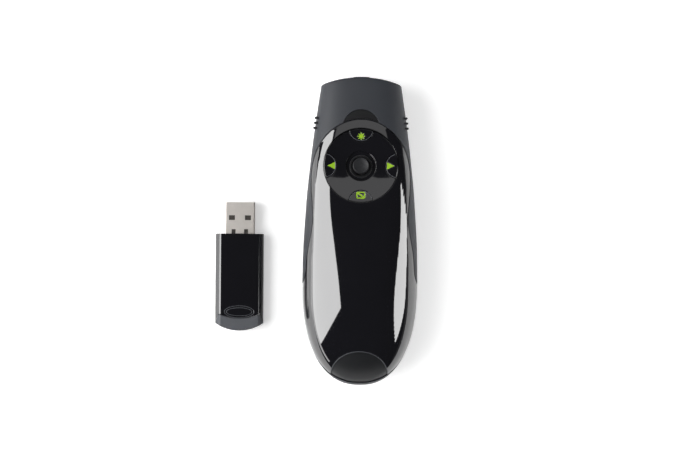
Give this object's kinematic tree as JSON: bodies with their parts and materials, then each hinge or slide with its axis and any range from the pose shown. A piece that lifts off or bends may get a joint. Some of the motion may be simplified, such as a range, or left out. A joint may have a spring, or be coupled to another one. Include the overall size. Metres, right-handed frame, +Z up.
{
  "type": "wireless presentation clicker",
  "caption": "Handheld wireless presenter with a rounded gloss-black cover, a dished control disc with keys round a small joystick, a front laser port and a plug-in receiver.",
  "frame": {"origin": "on the flat land of the underside, under the middle of the clicker's length", "axes": "+Y along the clicker to its nose, where the laser leaves, +X to its right, +Z up through the controls"},
  "size_m": [0.0807, 0.1224, 0.028],
  "materials": {
    "soft_touch": "matte",
    "piano_black": "gloss",
    "button_black": "gloss",
    "satin_black": "satin",
    "smoked_window": "satin",
    "clear_plastic": "polished",
    "lens_glass": "polished",
    "grip_rubber": "matte",
    "icon_green": "satin",
    "joystick_grey": "matte",
    "cap_grey": "matte",
    "door_black": "matte",
    "plunger_white": "satin",
    "stem_white": "satin",
    "spring_steel": "satin",
    "plug_metal": "satin",
    "plug_core": "satin",
    "gold_contact": "polished",
    "board_green": "satin",
    "chip_black": "matte",
    "barrel_brass": "satin",
    "cell_sleeve": "satin",
    "ribbon_amber": "satin"
  },
  "bodies": {
    "root": {"lower_shell": "soft_touch", "upper_shell": "soft_touch", "top_cover": "piano_black", "tail_inlay": "satin_black", "status_window": "smoked_window", "light_pipe": "clear_plastic", "left_grip": "grip_rubber", "right_grip": "grip_rubber", "control_dish": "piano_black", "joystick_ring": "satin_black", "joystick_base": "satin_black", "press_dome": "spring_steel", "control_board": "board_green", "button_switches": "satin_black", "controller_chip": "chip_black", "laser_barrel": "barrel_brass", "laser_lens": "lens_glass", "laser_bezel": "satin_black", "laser_driver_board": "board_green", "battery_tray": "satin_black", "left_cell": "cell_sleeve", "right_cell": "cell_sleeve", "battery_contacts": "spring_steel", "battery_springs": "spring_steel", "power_switch_body": "satin_black", "case_screws": "spring_steel", "receiver_cradle": "satin_black", "radio_board": "board_green", "radio_chip": "chip_black", "crystal": "spring_steel", "antenna": "gold_contact", "ribbon": "ribbon_amber", "bay_latch": "satin_black"},
    "laser_key": {"laser_button": "button_black", "laser_icon": "icon_green", "laser_plunger": "plunger_white"},
    "previous_key": {"previous_button": "button_black", "previous_icon": "icon_green", "previous_plunger": "plunger_white"},
    "next_key": {"next_button": "button_black", "next_icon": "icon_green", "next_plunger": "plunger_white"},
    "screen_key": {"screen_button": "button_black", "screen_icon": "icon_green", "screen_plunger": "plunger_white"},
    "joystick_tilt_frame": {"joystick_gimbal": "satin_black"},
    "joystick_rocker": {"joystick_ball": "stem_white"},
    "joystick_key": {"joystick_cap": "joystick_grey", "joystick_stem": "stem_white"},
    "power_knob": {"power_slider": "satin_black"},
    "door": {"battery_door": "door_black"},
    "receiver": {"receiver_top_shell": "piano_black", "receiver_bottom_shell": "piano_black", "receiver_end_cap": "cap_grey", "plug_shell": "plug_metal", "plug_tongue": "plug_core", "plug_contacts": "gold_contact", "receiver_board": "board_green", "receiver_chip": "chip_black"}
  },
  "joints": [
    {"name": "laser_press", "type": "slide", "parent": "root", "child": "laser_key", "axis": [0, -0.1018, -0.9948], "range_m": [0, 0.0004], "stiffness_N_per_m": 900, "springref_m": -0.0005},
    {"name": "previous_press", "type": "slide", "parent": "root", "child": "previous_key", "axis": [0, -0.1018, -0.9948], "range_m": [0, 0.0004], "stiffness_N_per_m": 900, "springref_m": -0.0005},
    {"name": "next_press", "type": "slide", "parent": "root", "child": "next_key", "axis": [0, -0.1018, -0.9948], "range_m": [0, 0.0004], "stiffness_N_per_m": 900, "springref_m": -0.0005},
    {"name": "screen_press", "type": "slide", "parent": "root", "child": "screen_key", "axis": [0, -0.1018, -0.9948], "range_m": [0, 0.0004], "stiffness_N_per_m": 900, "springref_m": -0.0005},
    {"name": "joystick_tilt_up_down", "type": "hinge", "parent": "root", "child": "joystick_tilt_frame", "pos_m": [0, 0.02539, 0.01963], "axis": [1, 0, 0], "range_deg": [-10, 10], "stiffness_Nm_per_rad": 0.02},
    {"name": "joystick_tilt_left_right", "type": "hinge", "parent": "joystick_tilt_frame", "child": "joystick_rocker", "pos_m": [0, 0.02539, 0.01963], "axis": [0, 0.9948, -0.1018], "range_deg": [-10, 10], "stiffness_Nm_per_rad": 0.02},
    {"name": "joystick_press", "type": "slide", "parent": "joystick_rocker", "child": "joystick_key", "axis": [0, -0.1018, -0.9948], "range_m": [0, 0.0003], "stiffness_N_per_m": 900, "springref_m": -0.0005},
    {"name": "power_slide", "type": "slide", "parent": "root", "child": "power_knob", "axis": [1, 0, 0], "range_m": [0, 0.0024]},
    {"name": "battery_door_hinge", "type": "hinge", "parent": "root", "child": "door", "pos_m": [0, 0.0462, 0.00195], "axis": [1, 0, 0], "range_deg": [0, 35]},
    {"name": "receiver_lift", "type": "slide", "parent": "root", "child": "receiver", "axis": [0, 0, 1], "range_m": [0, 0.05]}
  ]
}
